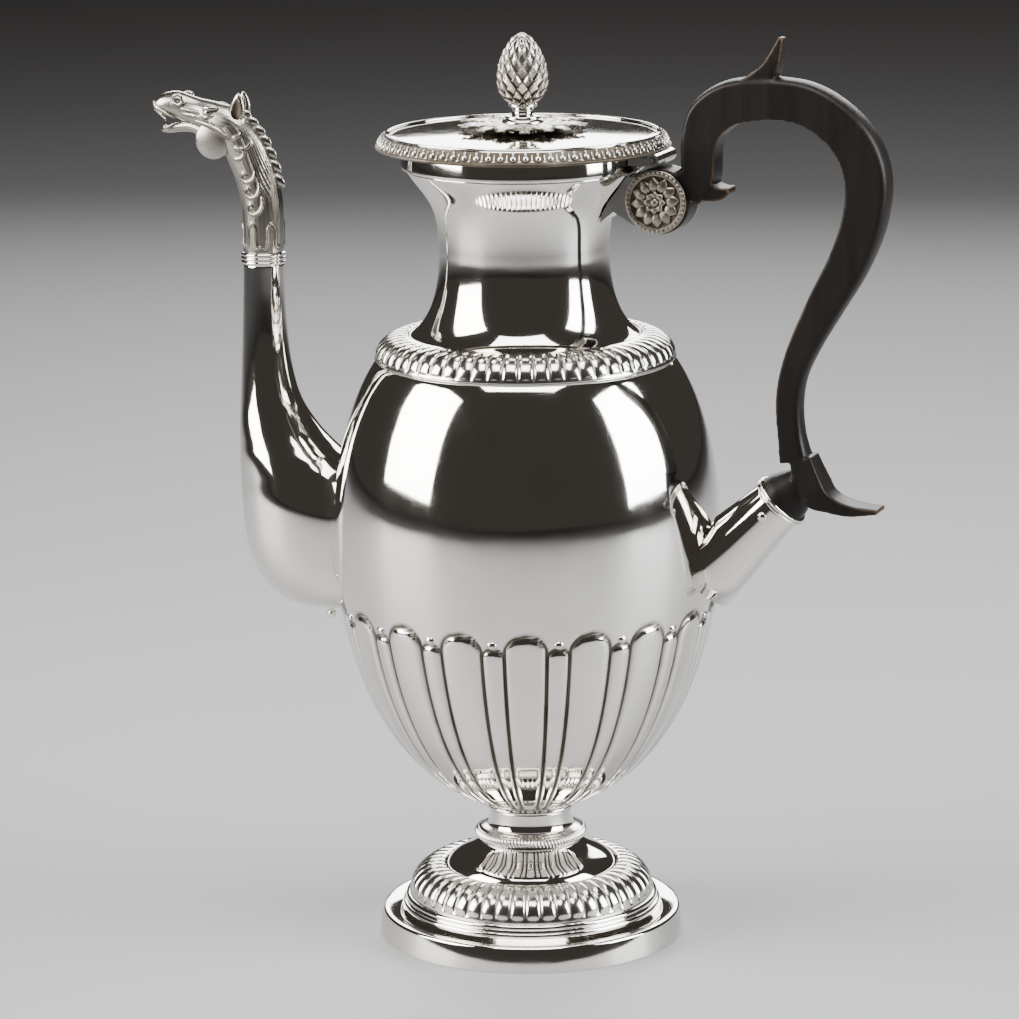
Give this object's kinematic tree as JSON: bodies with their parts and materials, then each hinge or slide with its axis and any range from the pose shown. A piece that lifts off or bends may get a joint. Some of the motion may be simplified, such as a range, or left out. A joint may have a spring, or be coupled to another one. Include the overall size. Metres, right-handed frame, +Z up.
{
  "type": "silver coffee pot",
  "caption": "Silver coffee pot on a round gadrooned foot, with a lobed egg-shaped body, horse's-head spout, hinged lid with a pinecone finial, and a dark wood scroll handle.",
  "frame": {"origin": "on the surface the pot stands on, under the middle of the whole object from the muzzle to the handle's crest; the pot's own axis is 3.7 mm towards +X", "axes": "+Z up, +X towards the handle, -X towards the spout; the XZ plane is the plane of symmetry"},
  "size_m": [0.2604, 0.1304, 0.3095],
  "materials": {
    "polished_silver": "polished, with a little warm tarnish in the corners",
    "cast_silver": "satin, darker in the hollows of the ornament",
    "ebonised_wood": "black stained and waxed, worn brown on the edges"
  },
  "bodies": {
    "pot": {"foot_plinth": "polished_silver", "foot_reeded_step": "polished_silver", "foot_dome": "polished_silver", "stem": "polished_silver", "stem_collar": "polished_silver", "body_shell": "polished_silver", "neck_shell": "polished_silver", "mouth_rim": "polished_silver", "spout_tube": "polished_silver", "spout_reeded_collar": "polished_silver", "spout_drop": "polished_silver", "handle_upper_mount": "polished_silver", "handle_upper_pin": "polished_silver", "handle_lower_socket": "polished_silver", "handle_socket_ring": "polished_silver", "handle_lower_pin": "polished_silver", "hinge_fixed_leaf": "polished_silver", "hinge_pin": "polished_silver", "foot_gadroon_band": "cast_silver", "stem_knurled_ring": "cast_silver", "shoulder_gadroon_band": "cast_silver", "horse_head": "cast_silver", "rosette_front": "cast_silver", "rosette_back": "cast_silver", "handle_wood": "ebonised_wood"},
    "lid": {"lid_plate": "polished_silver", "lid_wire": "polished_silver", "lid_bezel": "polished_silver", "lid_hinge_knuckle": "polished_silver", "finial_spool": "polished_silver", "finial_stud": "polished_silver", "finial_nut": "polished_silver", "lid_leaf_border": "cast_silver", "finial_leaf_rosette": "cast_silver", "finial_pinecone": "cast_silver"}
  },
  "joints": [
    {"name": "lid_hinge", "type": "hinge", "parent": "pot", "child": "lid", "pos_m": [0.05213, 0, 0.2686], "axis": [0, 1, 0], "range_deg": [0, 90]}
  ]
}
